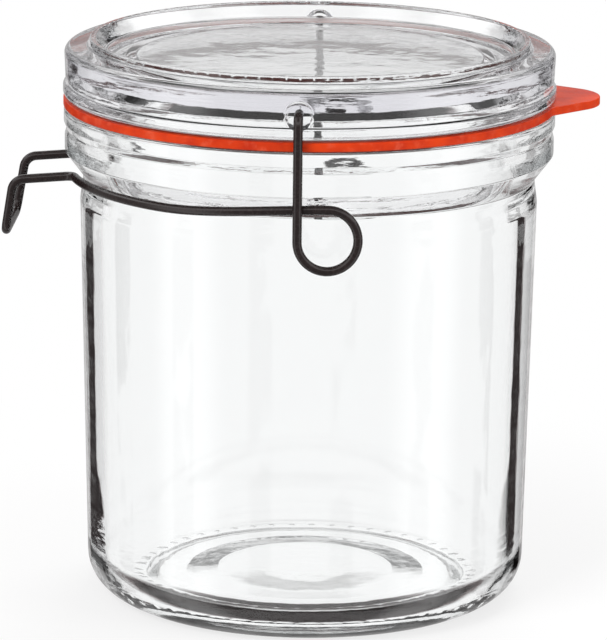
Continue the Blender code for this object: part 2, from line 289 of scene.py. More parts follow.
class Sketch:
    """Adds nodes to a tree and links them with short calls."""

    def __init__(self, tree: Tree) -> None:
        """Start on a tree, and clear it."""
        self.tree = tree
        tree.nodes.clear()

    def add(
        self, kind: str, feeds: dict[str | int, object] | None = None, **settings: object
    ) -> Node:
        """Add a node.

        Args:
            kind: The node's type name.
            feeds: What goes into its inputs, by name or number: sockets or plain values.
            settings: Properties of the node, by name.

        Returns:
            The node.
        """
        node = self.tree.nodes.new(kind)
        for name, value in settings.items():
            setattr(node, name, value)
        for key, value in (feeds or {}).items():
            if isinstance(value, Socket):
                self.tree.links.new(value, node.inputs[key])
            else:
                node.inputs[key].default_value = value
        return node

    def math(self, operation: str, *values: object) -> Socket:
        """Add a Math node.

        Args:
            operation: The node's operation.
            values: Its inputs, as sockets or numbers.

        Returns:
            The output socket.
        """
        return self.add("ShaderNodeMath", dict(enumerate(values)), operation=operation).outputs[0]

    def product(self, first: object, *others: object) -> Socket:
        """Multiply values.

        Args:
            first: The first value.
            others: What it is multiplied by, in turn.

        Returns:
            The output socket.
        """
        for value in others:
            first = self.math("MULTIPLY", first, value)
        return first

    def rest(self, share: object) -> Socket:
        """Return what a share leaves of one."""
        return self.math("SUBTRACT", 1.0, share)

    def apart(self, first: object, second: object) -> Socket:
        """Return how far two values are apart."""
        return self.math("ABSOLUTE", self.math("SUBTRACT", first, second))

    def scaled(self, where: object, scales: object) -> Socket:
        """Multiply a vector by another, number by number, and return the result's socket."""
        node = self.add("ShaderNodeVectorMath", {0: where, 1: scales}, operation="MULTIPLY")
        return node.outputs[0]

    def length(self, where: object) -> Socket:
        """Return the socket of a vector's length."""
        return self.add("ShaderNodeVectorMath", {0: where}, operation="LENGTH").outputs["Value"]

    def ramp(
        self, value: object, low: object, high: object, start: object = 0.0, end: object = 1.0
    ) -> Socket:
        """Map a value smoothly from one range to another.

        Args:
            value: The value to map.
            low: The value that gives start.
            high: The value that gives end.
            start: The result at low.
            end: The result at high.

        Returns:
            The output socket.
        """
        feeds = dict(enumerate((value, low, high, start, end)))
        node = self.add("ShaderNodeMapRange", feeds, interpolation_type="SMOOTHSTEP")
        return node.outputs[0]

    def blend(self, share: object, first: object, second: object) -> Socket:
        """Mix two colours and return the result's socket."""
        feeds = {0: share, 6: opaque(first), 7: opaque(second)}
        return self.add("ShaderNodeMix", feeds, data_type="RGBA").outputs[2]

    def mixed(self, share: object, first: object, second: object) -> Socket:
        """Mix two values and return the result's socket."""
        return self.add("ShaderNodeMix", {0: share, 2: first, 3: second}).outputs[0]

    def mixed_shader(self, share: object, first: Node, second: Node) -> Node:
        """Mix two shaders and return the node."""
        feeds = {0: share, 1: first.outputs[0], 2: second.outputs[0]}
        return self.add("ShaderNodeMixShader", feeds)

    def noise(self, where: object, scale: object, detail: float, roughness: float) -> Socket:
        """Add a noise texture and return its value's socket."""
        feeds = {"Vector": where, "Scale": scale, "Detail": detail, "Roughness": roughness}
        return self.add("ShaderNodeTexNoise", feeds).outputs["Fac"]


def opaque(colour: object) -> object:
    """Give a three-number colour its alpha, and leave a socket as it is."""
    return (*colour, 1.0) if isinstance(colour, tuple) and len(colour) == 3 else colour


def eased(share: float) -> float:
    """Return a share from 0 to 1, slowed down at both ends."""
    return share * share * (3 - 2 * share)


def new_group(
    kind: str, name: str, inputs: dict[str, str], output: str, form: str
) -> tuple[Tree, Sketch, object]:
    """Start a node group with named inputs and one output.

    Args:
        kind: The tree's type name.
        name: The group's name.
        inputs: What each input carries, such as Float, by the input's name.
        output: The output's name.
        form: What the output carries.

    Returns:
        The tree, its sketch and the sockets of its inputs by name.
    """
    tree = bpy.data.node_groups.new(name, kind)
    for label, carried in inputs.items():
        tree.interface.new_socket(label, in_out="INPUT", socket_type="NodeSocket" + carried)
    tree.interface.new_socket(output, in_out="OUTPUT", socket_type="NodeSocket" + form)
    sketch = Sketch(tree)
    return tree, sketch, sketch.add("NodeGroupInput").outputs


class SharedEffects:
    """Shader node groups that several finishes use."""

    def __init__(self) -> None:
        """Build each group once."""
        self.ripple = self._ripple()
        self.handling = self._handling()

    @staticmethod
    def _ripple() -> Tree:
        """Build the slow waves that pressing or moulding leaves in a surface.

        Returns:
            The group, which puts out a height.
        """
        inputs = {"Place": "Vector", "Scale": "Float", "Upright": "Float"}
        tree, sketch, given = new_group(
            "ShaderNodeTree", "moulding_ripple", inputs, "Height", "Float"
        )
        squash = sketch.add("ShaderNodeCombineXYZ", {0: 1.0, 1: 1.0, 2: given["Upright"]})
        place = sketch.scaled(given["Place"], squash.outputs[0])
        slow = sketch.noise(place, given["Scale"], detail=1.0, roughness=0.4)
        quick_scale = sketch.product(given["Scale"], 3.7)
        quick = sketch.noise(place, quick_scale, detail=2.0, roughness=0.5)
        sketch.add("NodeGroupOutput", {0: sketch.math("MULTIPLY_ADD", quick, 0.18, slow)})
        return tree

    @staticmethod
    def _handling() -> Tree:
        """Build the faint patches that touching and wiping leave on a finish.

        Returns:
            The group, which puts out a mask.
        """
        inputs = {"Place": "Vector", "Scale": "Float", "Cover": "Float"}
        tree, sketch, given = new_group(
            "ShaderNodeTree", "handling_marks", inputs, "Mask", "Float"
        )
        patches = sketch.noise(given["Place"], given["Scale"], detail=4.0, roughness=0.62)
        top = sketch.math("ADD", given["Cover"], 0.22)
        sketch.add("NodeGroupOutput", {0: sketch.ramp(patches, given["Cover"], top)})
        return tree


@dataclass(frozen=True)
class Finish:
    """What every finish has: its name and the shared effects' places in it."""

    name: str

    def start(self) -> tuple[Material, Sketch, Socket]:
        """Start the finish's material.

        Returns:
            The material, its sketch and its Object coordinates.
        """
        material = bpy.data.materials.new(self.name)
        material.use_nodes = True
        sketch = Sketch(material.node_tree)
        return material, sketch, sketch.add("ShaderNodeTexCoord").outputs["Object"]

    @staticmethod
    def effect(sketch: Sketch, tree: Tree, place: Socket, **values: float) -> Socket:
        """Place a shared effect in a material and return its output."""
        feeds = {"Place": place, **values}
        return sketch.add("ShaderNodeGroup", feeds, node_tree=tree).outputs[0]

    @staticmethod
    def bump(sketch: Sketch, height: Socket, strength: float, reach: float) -> Socket:
        """Return the normal of a surface that a height map raises."""
        feeds = {"Strength": strength, "Distance": reach, "Height": height}
        return sketch.add("ShaderNodeBump", feeds).outputs[0]


@dataclass(frozen=True)
class GlassFinish(Finish):
    """Clear pressed glass with slow ripples and a faint cool tint in its depth.

    Level streaks lie below smooth_from and above smooth_to, where the glass is thick.
    Painted glow in strands stands in for the light trapped past the bounce limit, and comes up
    between the two radii of rim.
    """

    tint: Colour = (0.985, 0.99, 0.99)
    wiped_tint: float = 0.992
    wiped_roughness: float = 0.012
    shadow_tint: Colour = (0.5, 0.505, 0.505)
    depth_tint: Colour = (0.84, 0.855, 0.86)
    density: float = 14.0
    ripple_scale: float = 70.0
    ripple_reach: float = 0.05 * MM
    streaks: float = 0.35
    streak_fade: float = 6 * MM
    smooth_from: float = 0.0
    smooth_to: float = 0.0
    strand_scale: Triple = (75.0, 75.0, 1100.0)
    strand_light: float = 0.55
    rim: Span = (38 * MM, 43 * MM)
    rim_dark: float = 0.12

    def relief(self, sketch: Sketch, effects: SharedEffects, place: Socket) -> Socket:
        """Draw the ripples, with level streaks where the glass is thick.

        Args:
            sketch: The material's sketch.
            effects: The shared shader groups.
            place: The Object coordinates.

        Returns:
            The height of the surface.
        """
        ripple = self.effect(sketch, effects.ripple, place, Scale=self.ripple_scale, Upright=0.35)
        streak = self.effect(sketch, effects.ripple, place, Scale=170.0, Upright=5.0)
        height = sketch.add("ShaderNodeSeparateXYZ", {0: place}).outputs[2]
        thick = sketch.math(
            "ADD",
            sketch.ramp(height, self.smooth_from - self.streak_fade, self.smooth_from, 1.0, 0.0),
            sketch.ramp(height, self.smooth_to, self.smooth_to + self.streak_fade),
        )
        return sketch.math("ADD", ripple, sketch.product(streak, thick, self.streaks))

    def trapped_light(self, sketch: Sketch, place: Socket, bounces: Socket) -> Socket:
        """Return a painted glow that stands in for light caught in the glass.

        A ray is followed through four bounces only, so the light that needs more would
        be lost, and the heel and the collar would be black where they curve.

        Args:
            sketch: The material's sketch.
            place: The Object coordinates.
            bounces: How often the ray was reflected.

        Returns:
            The glow's colour.
        """
        trapped = sketch.math("GREATER_THAN", bounces, MOST_BOUNCES - 0.5)
        strands = sketch.noise(sketch.scaled(place, self.strand_scale), 1.0, 4.0, 0.62)
        light = sketch.ramp(strands, 0.47, 0.55, 0.0, self.strand_light)
        axle = sketch.length(sketch.scaled(place, (1.0, 1.0, 0.0)))
        rim = sketch.ramp(axle, *self.rim, self.rim_dark, 1.0)
        return sketch.blend(sketch.product(trapped, light, rim), BLACK, WHITE)

    def material(self, effects: SharedEffects) -> Material:
        """Build the glass.

        Args:
            effects: The shared shader groups.

        Returns:
            The material.
        """
        material, sketch, place = self.start()
        path = sketch.add("ShaderNodeLightPath").outputs
        marks = self.effect(sketch, effects.handling, place, Scale=45.0, Cover=0.5)
        wiped = tuple(c * self.wiped_tint for c in self.tint)
        height = self.relief(sketch, effects, place)
        shader = sketch.add("ShaderNodeBsdfPrincipled", {
            "Metallic": 0.0, "IOR": 1.5, "Transmission Weight": 1.0,
            "Base Color": sketch.blend(marks, self.tint, wiped),
            "Roughness": sketch.ramp(marks, 0.0, 1.0, 0.0, self.wiped_roughness),
            "Normal": self.bump(sketch, height, 1.0, self.ripple_reach),
            # Painted glow: emission on the glass in place of the light lost past the bounce limit,
            # weaker inside the rim.
            "Emission Color": self.trapped_light(sketch, place, path["Glossy Depth"]),
            "Emission Strength": 1.0,
        })
        material.cycles.emission_sampling = "NONE"
        clear = sketch.add("ShaderNodeBsdfTransparent", {0: opaque(self.shadow_tint)})
        surface = sketch.mixed_shader(path["Is Shadow Ray"], shader, clear)
        depth = sketch.add("ShaderNodeVolumeAbsorption", {
            "Color": opaque(self.depth_tint), "Density": self.density,
        })
        sketch.add("ShaderNodeOutputMaterial", {
            "Surface": surface.outputs[0], "Volume": depth.outputs[0],
        })
        return material


@dataclass(frozen=True)
class RubberFinish(Finish):
    """Orange-red food rubber, satin, chalky where it is handled, with painted shade where it is
    seen through the glass.
    """

    colour: Colour = (0.68, 0.050, 0.006)
    deep: Colour = (0.50, 0.028, 0.006)
    chalk: Colour = (0.76, 0.15, 0.08)
    chalk_share: float = 0.35
    # Painted shade: the near-black red that rubber seen deep through the glass is darkened to, in
    # place of the shade under the lid.
    buried: Colour = (0.05, 0.008, 0.006)
    buried_share: float = 0.85
    buried_after: float = 2.5
    scatter: Triple = (1.6 * MM, 0.4 * MM, 0.2 * MM)
    roughness: Span = (0.38, 0.55)
    grain_reach: float = 0.05 * MM

    def material(self, effects: SharedEffects) -> Material:
        """Build the rubber.

        Args:
            effects: The shared shader groups.

        Returns:
            The material.
        """
        material, sketch, place = self.start()
        path = sketch.add("ShaderNodeLightPath").outputs
        cloud = sketch.ramp(sketch.noise(place, 160.0, 3.0, 0.5), 0.3, 0.7)
        marks = self.effect(sketch, effects.handling, place, Scale=420.0, Cover=0.5)
        clean = sketch.blend(cloud, self.deep, self.colour)
        worn = sketch.blend(sketch.product(marks, self.chalk_share), clean, self.chalk)
        # Painted shade: rubber seen along a long way through the glass (three crossings, or a
        # crossing and a bounce) is darkened towards a near-black red that stands in for the shade
        # under the lid.
        bounces = sketch.product(path["Glossy Depth"], 2.0)
        passes = sketch.math("ADD", path["Transmission Depth"], bounces)
        buried = sketch.math("GREATER_THAN", passes, self.buried_after)
        grain = sketch.noise(place, 2600.0, 2.0, 0.6)
        ripple = self.effect(sketch, effects.ripple, place, Scale=240.0, Upright=1.0)
        height = sketch.math("MULTIPLY_ADD", grain, 0.25, ripple)
        shader = sketch.add("ShaderNodeBsdfPrincipled", {
            "IOR": 1.5, "Specular IOR Level": 0.12, "Subsurface Weight": 0.05,
            "Subsurface Radius": self.scatter, "Subsurface Scale": 1.0,
            "Base Color": sketch.blend(
                sketch.product(buried, self.buried_share), worn, self.buried
            ),
            "Roughness": sketch.ramp(marks, 0.0, 1.0, *self.roughness),
            "Normal": self.bump(sketch, height, 0.6, self.grain_reach),
        })
        sketch.add("ShaderNodeOutputMaterial", {"Surface": shader.outputs[0]})
        return material


@dataclass(frozen=True)
class WireFinish(Finish):
    """Spring steel under a thin dark bronze lacquer."""

    lacquer: Colour = (0.012, 0.0075, 0.0072)
    lacquer_light: float = 1.6
    bare: Colour = (0.10, 0.075, 0.06)
    bare_share: float = 0.35
    bare_metal: float = 0.6
    roughness: Span = (0.2, 0.34)
    streak_reach: float = 0.02 * MM

    def material(self, effects: SharedEffects) -> Material:
        """Build the lacquered wire.

        Args:
            effects: The shared shader groups.

        Returns:
            The material.
        """
        material, sketch, place = self.start()
        wear = self.effect(sketch, effects.handling, place, Scale=700.0, Cover=0.6)
        streaks = sketch.noise(place, 1500.0, 3.0, 0.6)
        light = tuple(c * self.lacquer_light for c in self.lacquer)
        base = sketch.blend(sketch.ramp(streaks, 0.35, 0.75), self.lacquer, light)
        shader = sketch.add("ShaderNodeBsdfPrincipled", {
            "IOR": 1.5, "Specular IOR Level": 0.22, "Coat Weight": 0.16,
            "Coat Roughness": 0.12,
            "Base Color": sketch.blend(sketch.product(wear, self.bare_share), base, self.bare),
            "Metallic": sketch.ramp(wear, 0.0, 1.0, 0.0, self.bare_metal),
            "Roughness": sketch.ramp(streaks, 0.3, 0.8, *self.roughness),
            "Normal": self.bump(sketch, streaks, 0.1, self.streak_reach),
        })
        sketch.add("ShaderNodeOutputMaterial", {"Surface": shader.outputs[0]})
        return material


def shape_tree(name: str, values: dict[str, float]) -> tuple[Tree, Sketch, object]:
    """Start a Geometry Nodes tree.

    Args:
        name: The tree's name.
        values: Its numbers by name: a whole number gives a whole-number input.

    Returns:
        The tree, its sketch and the sockets of its inputs, which are the geometry, the
        numbers and the material.
    """
    kinds = {label: "Int" if isinstance(value, int) else "Float" for label, value in values.items()}
    inputs = {"Geometry": "Geometry", **kinds, "Material": "Material"}
    return new_group("GeometryNodeTree", name, inputs, "Geometry", "Geometry")


def end_shape(sketch: Sketch, shape: Socket, material: Socket) -> None:
    """End a Geometry Nodes tree: make its instances real and give it its material.

    Args:
        sketch: The tree's sketch.
        shape: The geometry.
        material: The material's input.
    """
    real = sketch.add("GeometryNodeRealizeInstances", {0: shape})
    feeds = {"Geometry": real.outputs[0], "Material": material}
    painted = sketch.add("GeometryNodeSetMaterial", feeds)
    sketch.add("NodeGroupOutput", {0: painted.outputs[0]})


def baked(piece: Piece, tree: Tree, values: dict[str, object]) -> Piece:
    """Run a Geometry Nodes tree on an object and keep the result as a plain mesh.

    Args:
        piece: The object that carries the tree's starting geometry.
        tree: The Geometry Nodes tree.
        values: The tree's inputs by name.

    Returns:
        A mesh object of the same name, in place of the first.
    """
    modifier = piece.modifiers.new(tree.name, "NODES")
    modifier.node_group = tree
    for item in tree.interface.items_tree:
        if item.in_out == "INPUT" and item.name in values:
            modifier[item.identifier] = values[item.name]
    bpy.context.view_layer.update()
    graph = bpy.context.evaluated_depsgraph_get()
    mesh = bpy.data.meshes.new_from_object(piece.evaluated_get(graph), depsgraph=graph)
    name = piece.name
    bpy.data.objects.remove(piece, do_unlink=True)
    mesh.name = name
    return placed(name, mesh)


def placed(name: str, data: bpy.types.ID) -> Piece:
    """Link a new object at the origin.

    Args:
        name: The object's name.
        data: What it holds.

    Returns:
        The object.
    """
    piece = bpy.data.objects.new(name, data)
    bpy.context.scene.collection.objects.link(piece)
    return piece


def dress(piece: Piece, body: Body, node: str) -> None:
    """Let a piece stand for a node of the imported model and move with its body.

    Args:
        piece: The finished piece.
        body: The body that carries it.
        node: The node that it stands for.
    """
    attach(piece, body.value)
    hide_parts(node)
    LOG.info("%s: %d faces", piece.name, len(piece.data.polygons))


@dataclass(frozen=True)
class TickRing:
    """A ring of short pressed marks on a turned face.

    Attributes:
        count: The marks round the ring.
        radius: The radius of the marks' middles.
        reach: Half the marks' length along the radius.
        height: The height of the face that carries them.
        window: How far from that height the face may lie.
        depth: How far the marks move the face along Z.
        share: The share of the ring that the marks take.
    """

    count: int
    radius: float
    reach: float
    height: float
    window: float
    depth: float
    share: float

    def apply(self, piece: Piece, material: Material) -> Piece:
        """Press the marks into a piece with Geometry Nodes.

        Args:
            piece: The turned piece, whose mesh has columns at the marks.
            material: The finish that the tree sets.

        Returns:
            The piece, with a plain mesh.
        """
        values = {field.name.capitalize(): getattr(self, field.name) for field in fields(self)}
        tree, sketch, given = shape_tree("tick_ring", values)
        place = sketch.add("GeometryNodeInputPosition").outputs[0]
        x, y, z = sketch.add("ShaderNodeSeparateXYZ", {0: place}).outputs
        squares = sketch.math("ADD", sketch.product(x, x), sketch.product(y, y))
        turn = sketch.math("DIVIDE", sketch.math("ARCTAN2", y, x), math.tau)
        phase = sketch.math("FRACT", sketch.product(turn, given["Count"]))
        off = sketch.product(sketch.apart(phase, 0.5), 2.0)
        mark = sketch.ramp(off, given["Share"], sketch.product(given["Share"], 0.35))
        aside = sketch.apart(sketch.math("SQRT", squares), given["Radius"])
        near = sketch.ramp(aside, given["Reach"], sketch.product(given["Reach"], 0.55))
        level = sketch.math("LESS_THAN", sketch.apart(z, given["Height"]), given["Window"])
        rise = sketch.product(mark, near, level, given["Depth"])
        lift = sketch.add("ShaderNodeCombineXYZ", {2: rise})
        feeds = {"Geometry": given["Geometry"], "Offset": lift.outputs[0]}
        moved = sketch.add("GeometryNodeSetPosition", feeds)
        end_shape(sketch, moved.outputs[0], given["Material"])
        return baked(piece, tree, {**values, "Material": material})


@dataclass
class JarBody:
    """The glass jar: base ring, heel, straight body, collar and sealing rim.

    Attributes:
        collar: Corners from the rim's edge down to the body, out from the body's radius
            and up from the rim.
        column_shares: The places of the columns within one tick's stretch.
    """

    height: float = 109.5 * MM
    radius: float = 50.4 * MM
    taper: float = 1.8 * MM
    wall: float = 4.4 * MM
    bore_taper: float = 1.1 * MM
    bore_flare: float = 0.9 * MM
    heel: float = 8.7 * MM
    inner_heel: float = 6.5 * MM
    ring_width: float = 4.3 * MM
    floor: float = 4.1 * MM
    crown: float = 1.2 * MM
    punt: float = 3.0 * MM
    step_width: float = 3.2 * MM
    step_depth: float = 1.35 * MM
    boss_radius: float = 19.5 * MM
    boss_slope: float = 7.0 * MM
    boss_foot: float = 1.5 * MM
    collar: tuple[Corner, ...] = (
        Corner(3.6 * MM, 0.0, 0.9 * MM),
        Corner(3.6 * MM, -3.1 * MM, 0.9 * MM),
        Corner(2.9 * MM, -4.6 * MM, 0.9 * MM),
        Corner(3.4 * MM, -6.3 * MM, 0.9 * MM),
        Corner(3.4 * MM, -9.5 * MM, 0.9 * MM),
        Corner(2.1 * MM, -11.2 * MM, 0.35 * MM),
        Corner(-0.6 * MM, -14.8 * MM, 1.4 * MM),
        Corner(-0.6 * MM, -16.2 * MM, 1.4 * MM),
        Corner(0.0, -20.4 * MM, 4.2 * MM),
    )
    tick_count: int = 50
    column_shares: tuple[float, ...] = (0, 0.2, 0.36, 0.44, 0.5, 0.56, 0.64, 0.8)

    @property
    def foot(self) -> float:
        """The radius that the wall would have at the ground, without its heel."""
        return self.radius - self.taper

    @property
    def ring_inner(self) -> float:
        """The inner radius of the ring that the jar stands on."""
        return self.foot - self.heel - self.ring_width

    def corners(self) -> list[Corner]:
        """Lay out the section.

        Returns:
            Its corners, from the floor's middle round to the punt's.
        """
        bore = self.radius - self.wall
        middle = self.floor + self.crown
        return [
            Corner(0, middle),
            Corner(self.boss_radius * 0.5, middle, self.boss_radius * 0.45),
            Corner(bore - self.bore_taper, self.floor, self.inner_heel),
            Corner(bore, self.height - self.bore_flare, 1.2 * MM),
            Corner(bore + self.bore_flare, self.height, 0.8 * MM),
            *(c.moved(self.radius, self.height) for c in self.collar),
            Corner(self.foot, 0, self.heel),
            Corner(self.ring_inner, 0),
            Corner(self.ring_inner - self.step_width, self.step_depth, self.step_width),
            Corner(self.boss_radius + self.boss_slope, self.boss_foot, 1.2 * MM),
            Corner(self.boss_radius, self.punt, 1.6 * MM),
            Corner(0, self.punt),
        ]

    def build(self, material: Material) -> Piece:
        """Turn the jar and press the ticks under its base.

        Args:
            material: The jar's glass.

        Returns:
            The jar.
        """
        turns = even_turns(self.tick_count, self.column_shares)
        turning = Turning(self.corners(), turns, fine=((-0.1 * MM, 0.1 * MM, 0.4 * MM),))
        piece = placed("jar_glass_body", turning.mesh("jar_glass_body", None))
        ticks = TickRing(
            count=self.tick_count, radius=self.ring_inner + 1.9 * MM, reach=1.1 * MM,
            height=0.0, window=0.4 * MM, depth=0.16 * MM, share=0.22,
        )
        piece = ticks.apply(piece, material)
        dress(piece, Body.JAR, "jar_body")
        return piece


@dataclass
class Lid:
    """The glass lid: raised rim with ticks, sunk middle, bead, skirt and dimples.

    Heights are above the seat on the gasket, but for the seat's own.

    Attributes:
        column_shares: The places of the columns within one tick's stretch.
    """

    seat_z: float = 112.0 * MM
    radius: float = 53.9 * MM
    bore: float = 46.0 * MM
    crest_z: float = 12.7 * MM
    crest_inset: float = 6.0 * MM
    shoulder_z: float = 10.8 * MM
    recess: float = 3.1 * MM
    plate: float = 5.3 * MM
    cone_rise: float = 1.5 * MM
    cone_width: float = 2.6 * MM
    side_inset: float = 0.3 * MM
    bead_z: float = 2.6 * MM
    bead_out: float = 0.25 * MM
    skirt_gap: float = 0.8 * MM
    skirt_taper: float = 0.9 * MM
    skirt_width: float = 3.7 * MM
    skirt_z: float = -5.0 * MM
    dimple_z: float = 5.4 * MM
    dimple_radius: float = 3.1 * MM
    dimple_edge: float = 0.35 * MM
    dimple_turns: Span = (-math.pi / 2, math.pi / 2)
    tick_count: int = 102
    column_shares: tuple[float, ...] = (0.0, 0.3, 0.42, 0.5, 0.58, 0.7)

    def corners(self) -> list[Corner]:
        """Lay out the section.

        Returns:
            Its corners, from the recess's middle round to the hollow's.
        """
        crest = self.radius - self.crest_inset
        floor_z = self.crest_z - self.recess
        plate_z = floor_z - self.plate
        side = self.radius - self.side_inset
        bead = self.radius + self.bead_out
        skirt = self.bore - self.skirt_gap
        hollow = skirt - self.skirt_width - self.skirt_taper
        rows = [
            Corner(0, floor_z),
            Corner(crest - 3.2 * MM, floor_z, 0.8 * MM),
            Corner(crest - 0.8 * MM, self.crest_z, 0.5 * MM),
            Corner(crest + 0.4 * MM, self.crest_z, 0.5 * MM),
            Corner(crest + 0.8 * MM, self.shoulder_z + 0.3 * MM, 0.5 * MM),
            Corner(self.radius, self.shoulder_z, 1.5 * MM),
            Corner(side, self.bead_z * 1.35, 1.5 * MM),
            Corner(side, self.bead_z * 1.12, 0.3 * MM),
            Corner(bead, self.bead_z, 1.2 * MM),
            Corner(bead, 0, 1.2 * MM),
            Corner(skirt, 0, 0.4 * MM),
            Corner(skirt - self.skirt_taper, self.skirt_z, 0.9 * MM),
            Corner(skirt - self.skirt_width, self.skirt_z, 0.9 * MM),
            Corner(hollow, plate_z - self.cone_rise, 0.5 * MM),
            Corner(hollow - self.cone_width, plate_z, 0.5 * MM),
            Corner(0, plate_z),
        ]
        return [row.moved(0, self.seat_z) for row in rows]

    def relief(self, radius: np.ndarray, angle: np.ndarray, height: np.ndarray) -> np.ndarray:
        """Return the push of the two dimples into the lid's side wall.

        Args:
            radius: The radius of each point of the turned surface.
            angle: Its angle.
            height: Its height.

        Returns:
            How far each point moves out.
        """
        push = np.zeros_like(radius)
        outside = radius > self.radius - 1.5 * MM
        for middle in self.dimple_turns:
            aside = between(angle, middle) * radius
            away = np.hypot(aside, height - self.seat_z - self.dimple_z)
            share = np.clip(away / self.dimple_radius, 0, 1)
            depth = self.dimple_radius * np.sqrt(1 - share ** 2)
            soft = np.clip((self.dimple_radius - away) / self.dimple_edge, 0, 1)
            near = outside & (np.abs(aside) < 5 * MM)
            push -= np.where(near, depth * np.minimum(1, soft), 0)
        return push

    def turns(self) -> np.ndarray:
        """Space the columns closer together at the ticks and at the dimples.

        Returns:
            The columns' angles in radians, rising from 0.
        """
        even = even_turns(self.tick_count, self.column_shares)
        width = 4.2 * MM / self.radius
        close = np.arange(-width, width, 0.16 * MM / self.radius)
        keep = np.ones(len(even), dtype=bool)
        extra = []
        for middle in self.dimple_turns:
            keep &= np.abs(between(even, middle)) > width
            extra.append((middle + close) % math.tau)
        return np.sort(np.concatenate([even[keep], *extra]))

    def build(self, material: Material) -> Piece:
        """Turn the lid, sink its dimples and press its ticks.

        Args:
            material: The lid's glass.

        Returns:
            The lid.
        """
        middle = self.seat_z + self.dimple_z
        reach = self.dimple_radius + 0.6 * MM
        crest = self.seat_z + self.crest_z
        fine = (
            (middle - reach, middle + reach, 0.22 * MM),
            (crest - 0.05 * MM, crest + 0.05 * MM, 0.25 * MM),
        )
        turning = Turning(self.corners(), self.turns(), run=2.2 * MM, fine=fine)
        piece = placed("lid_glass", turning.mesh("lid_glass", self.relief))
        ticks = TickRing(
            count=self.tick_count, radius=self.radius - 6.6 * MM, reach=0.35 * MM,
            height=crest, window=0.5 * MM, depth=-0.1 * MM, share=0.16,
        )
        piece = ticks.apply(piece, material)
        dress(piece, Body.LID, "lid")
        return piece


@dataclass
class Gasket:
    """The flat rubber ring with its pull tab."""

    low_z: float = 109.8 * MM
    thickness: float = 1.9 * MM
    radius: float = 54.1 * MM
    bore: float = 46.2 * MM
    tab_length: float = 10.1 * MM
    tab_half_width: float = 15.0 * MM
    tab_nose: float = 10.2 * MM
    tab_fillet: float = 4.0 * MM
    tab_azimuth_deg: float = 6.5
    edge: float = 0.28 * MM
    nose_points: int = 28
    ring_points: int = 150
    edge_points: int = 5

    def outline(self) -> np.ndarray:
        """Draw the outer edge.

        Returns:
            Its (x, y) rows, once round, with the tab along +X before it is turned.
        """
        nose_x = self.radius + self.tab_length - self.tab_nose
        root_angle = math.asin(self.tab_half_width / self.radius)
        root = Vector((self.radius * math.cos(root_angle), self.tab_half_width, 0))
        to_root = root - Vector((nose_x, 0, 0))
        touch = math.atan2(to_root.y, to_root.x) - math.acos(self.tab_nose / to_root.length)
        nose = [
            Vector((nose_x + self.tab_nose * math.cos(a), self.tab_nose * math.sin(a), 0))
            for a in np.linspace(0, touch, self.nose_points)
        ]
        end = root_angle + self.tab_fillet / self.radius
        ring = [
            Vector((self.radius * math.cos(a), self.radius * math.sin(a), 0))
            for a in np.linspace(end, math.pi, self.ring_points)
        ]
        flank = rounded([(nose[-1], 0.0), (root, self.tab_fillet), (ring[0], 0.0)], 3.0)
        half = nose + flank[1:] + ring[1:]
        whole = half + [Vector((p.x, -p.y, 0)) for p in reversed(half[1:-1])]
        return np.array([(p.x, p.y) for p in whole])

    def build(self, material: Material) -> Piece:
        """Mould the ring with rounded edges.

        Args:
            material: The rubber.

        Returns:
            The gasket.
        """
        outer = self.outline()
        along = np.roll(outer, -1, 0) - np.roll(outer, 1, 0)
        normal = np.stack([along[:, 1], -along[:, 0]], -1)
        normal /= np.linalg.norm(normal, axis=1)[:, None]
        spoke = outer / np.linalg.norm(outer, axis=1)[:, None]
        inner = spoke * self.bore
        rising = np.linspace(0, math.pi / 2, self.edge_points)
        edges = (
            (outer, normal, rising, True), (outer, normal, rising[::-1], False),
            (inner, -spoke, rising, False), (inner, -spoke, rising[::-1], True),
        )
        loops = []
        for base, out, angles, low in edges:
            for a in angles:
                rise = self.edge * (1 - math.cos(a))
                height = self.low_z + (rise if low else self.thickness - rise)
                ring = base - out * (self.edge * (1 - math.sin(a)))
                loops.append(np.column_stack([ring, np.full(len(ring), height)]))
        count = len(outer)
        faces = []
        for row in range(len(loops)):
            low, high = row * count, (row + 1) % len(loops) * count
            for i in range(count):
                j = (i + 1) % count
                faces.append((low + i, low + j, high + j, high + i))
        mesh = closed_mesh("rubber_gasket", np.vstack(loops), faces)
        mesh.transform(Matrix.Rotation(math.radians(self.tab_azimuth_deg), 4, "Z"))
        mesh.set_sharp_from_angle(angle=SHARP_ANGLE)
        mesh.materials.append(material)
        piece = placed("rubber_gasket", mesh)
        dress(piece, Body.GASKET, "gasket")
        return piece


